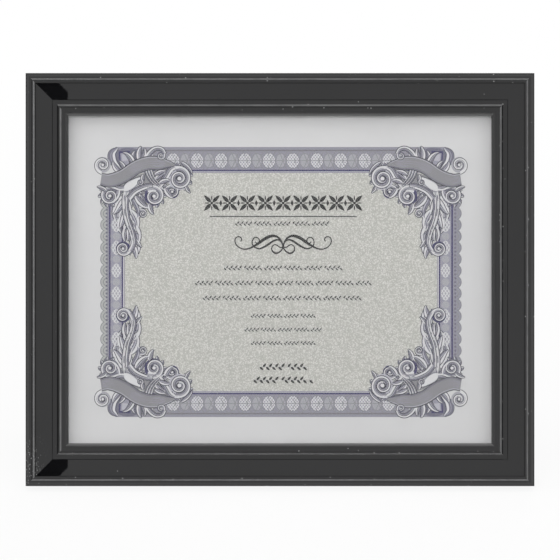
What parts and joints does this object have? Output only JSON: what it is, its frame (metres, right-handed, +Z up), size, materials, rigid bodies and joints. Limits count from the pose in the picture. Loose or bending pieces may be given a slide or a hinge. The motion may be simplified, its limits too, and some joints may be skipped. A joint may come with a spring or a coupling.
{
  "type": "certificate frame",
  "caption": "Black moulded frame with mitred corners that displays one letter-size certificate under glass, standing on a two-way easel leg or hung by a ring hanger.",
  "frame": {"origin": "on the table, under the middle of the standing frame's box", "axes": "+Z up from the table, -Y out of the glazed front, +X to the right as seen from the front; the frame leans back on its easel leg"},
  "size_m": [0.324, 0.108, 0.2588],
  "materials": {
    "moulding": "gloss black moulded plastic",
    "nail_steel": "bright steel strip",
    "glass": "clear picture glass",
    "print": "matte printed paper",
    "card": "plain grey-brown card",
    "hardboard": "hardboard faced with black paper",
    "leg_board": "hardboard faced with black paper",
    "plated_steel": "zinc-plated pressed steel",
    "rivet_steel": "zinc-plated rivets",
    "hanger_steel": "zinc-plated strip and wire"
  },
  "bodies": {
    "root": {"top_rail": "moulding", "bottom_rail": "moulding", "left_rail": "moulding", "right_rail": "moulding", "mitre_nails": "nail_steel", "glass_pane": "glass", "certificate_sheet": "print", "filler_card": "card", "backing_board": "hardboard", "turn_button_screws": "plated_steel", "hinge_plate": "plated_steel", "hinge_pin": "plated_steel", "plate_rivets": "rivet_steel", "top_hanger_strap": "hanger_steel", "top_hanger_rivet": "rivet_steel", "side_hanger_strap": "hanger_steel", "side_hanger_rivet": "rivet_steel"},
    "leg": {"easel_leg": "leg_board", "hinge_flap": "plated_steel", "flap_rivets": "rivet_steel"},
    "top_ring": {"top_hanger_ring": "hanger_steel"},
    "side_ring": {"side_hanger_ring": "hanger_steel"},
    "turn_button_bottom_left": {"turn_button_bottom_left": "plated_steel"},
    "turn_button_bottom_right": {"turn_button_bottom_right": "plated_steel"},
    "turn_button_right": {"turn_button_right": "plated_steel"},
    "turn_button_top_right": {"turn_button_top_right": "plated_steel"},
    "turn_button_top_left": {"turn_button_top_left": "plated_steel"},
    "turn_button_left": {"turn_button_left": "plated_steel"}
  },
  "joints": [
    {"name": "leg_fold", "type": "hinge", "parent": "root", "child": "leg", "pos_m": [0.034, 0.00221, 0.17137], "axis": [0.8192, 0.1384, 0.5566], "range_deg": [-26, 0]},
    {"name": "turn_button_bottom_left_turn", "type": "hinge", "parent": "root", "child": "turn_button_bottom_left", "pos_m": [-0.07, -0.03848, 0.01455], "axis": [0, 0.9705, -0.2413], "range_deg": [-130, 130]},
    {"name": "turn_button_bottom_right_turn", "type": "hinge", "parent": "root", "child": "turn_button_bottom_right", "pos_m": [0.07, -0.03848, 0.01455], "axis": [0, 0.9705, -0.2413], "range_deg": [-130, 130]},
    {"name": "turn_button_right_turn", "type": "hinge", "parent": "root", "child": "turn_button_right", "pos_m": [0.148, -0.00048, 0.1674], "axis": [0, 0.9705, -0.2413], "range_deg": [-130, 130]},
    {"name": "turn_button_top_right_turn", "type": "hinge", "parent": "root", "child": "turn_button_top_right", "pos_m": [0.07, 0.01822, 0.24261], "axis": [0, 0.9705, -0.2413], "range_deg": [-130, 130]},
    {"name": "turn_button_top_left_turn", "type": "hinge", "parent": "root", "child": "turn_button_top_left", "pos_m": [-0.07, 0.01822, 0.24261], "axis": [0, 0.9705, -0.2413], "range_deg": [-130, 130]},
    {"name": "turn_button_left_turn", "type": "hinge", "parent": "root", "child": "turn_button_left", "pos_m": [-0.148, -0.00048, 0.1674], "axis": [0, 0.9705, -0.2413], "range_deg": [-130, 130]},
    {"name": "top_ring_swing", "type": "hinge", "parent": "root", "child": "top_ring", "pos_m": [0, 0.01666, 0.23063], "axis": [1, 0, 0], "range_deg": [-10, 164]},
    {"name": "side_ring_swing", "type": "hinge", "parent": "root", "child": "side_ring", "pos_m": [-0.136, -0.00879, 0.12825], "axis": [0, 0.2413, 0.9705], "range_deg": [-86, 88]}
  ]
}
